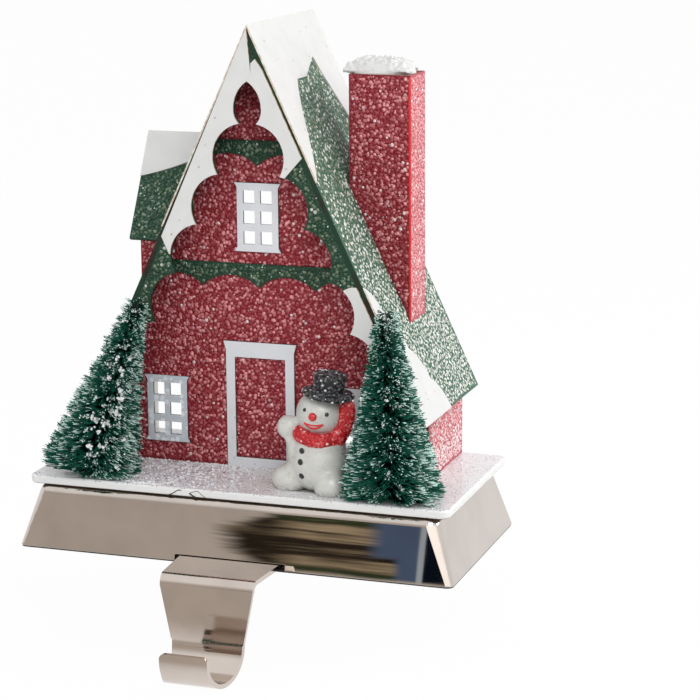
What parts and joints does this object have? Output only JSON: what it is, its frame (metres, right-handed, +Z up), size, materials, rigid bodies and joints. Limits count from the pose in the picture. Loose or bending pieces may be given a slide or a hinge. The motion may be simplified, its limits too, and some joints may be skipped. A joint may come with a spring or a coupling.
{
  "type": "mantel stocking holder",
  "caption": "Weighted metal mantel base with a bent hook for a stocking, carrying a glittered card cottage, bottle-brush trees and a small snowman.",
  "frame": {"origin": "middle of the base pad's underside, on the mantel", "axes": "+X to the right seen from the front, +Y towards the back, +Z up; the hook is on the -Y side"},
  "size_m": [0.14, 0.1167, 0.1881],
  "materials": {
    "polished_nickel": "polished nickel plate on pressed steel",
    "raw_iron": "rough cast, unpainted",
    "zinc_screw": "zinc plated",
    "black_pad": "matt foam rubber",
    "white_glitter_board": "fibreboard, white with fine silver glitter",
    "red_glitter_card": "dark red with clear glass glitter",
    "green_glitter_card": "dark green with clear glass glitter",
    "white_card": "matt white, tan at the cut edges",
    "grey_frame_card": "pale grey, tan at the cut edges",
    "crumb_snow": "loose white crumbs in glue",
    "green_wire": "twisted steel wire, green",
    "green_bristle": "fine bristles with frosted tips",
    "cast_snowman": "cast resin, painted, gloss"
  },
  "bodies": {
    "root": {"base_shell": "polished_nickel", "counterweight": "raw_iron", "hook": "polished_nickel", "hook_screws": "zinc_screw", "base_pad": "black_pad", "snow_board": "white_glitter_board", "front_wall": "red_glitter_card", "left_wall": "red_glitter_card", "right_wall": "red_glitter_card", "main_roof": "green_glitter_card", "gable_trim": "green_glitter_card", "trim_snow_left": "white_card", "trim_snow_right": "white_card", "trim_snow_low": "white_card", "storey_band": "green_glitter_card", "gable_band": "green_glitter_card", "upper_window_frame": "grey_frame_card", "left_window_frame": "grey_frame_card", "right_window_frame": "grey_frame_card", "door_frame": "grey_frame_card", "ridge_snow": "white_card", "eave_snow": "white_card", "dormer_walls": "red_glitter_card", "dormer_roof": "green_glitter_card", "dormer_snow": "white_card", "chimney": "red_glitter_card", "chimney_snow": "crumb_snow", "left_tree_wire": "green_wire", "left_tree_bristles": "green_bristle", "right_tree_wire": "green_wire", "right_tree_bristles": "green_bristle", "snowman": "cast_snowman"}
  },
  "joints": []
}
